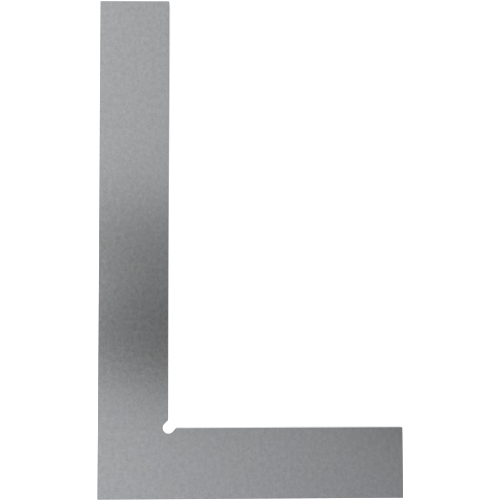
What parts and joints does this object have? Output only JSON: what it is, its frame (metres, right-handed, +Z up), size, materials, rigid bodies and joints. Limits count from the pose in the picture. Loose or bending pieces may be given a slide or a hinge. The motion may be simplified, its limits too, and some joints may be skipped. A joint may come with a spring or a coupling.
{
  "type": "steel square",
  "caption": "Flat L-shaped steel plate with a long and a short leg at a right angle and a small round-ended relief open at the inner corner.",
  "frame": {"origin": "outer right-angle corner, where the outer edges of both legs meet, on the underside", "axes": "+X along the short leg, +Y along the long leg, +Z up through the plate's thickness"},
  "size_m": [0.182, 0.3, 0.005],
  "materials": {
    "zinc_plated_steel": "matte grey zinc plating on ground steel plate"
  },
  "bodies": {
    "root": {"square_plate": "zinc_plated_steel"}
  },
  "joints": []
}
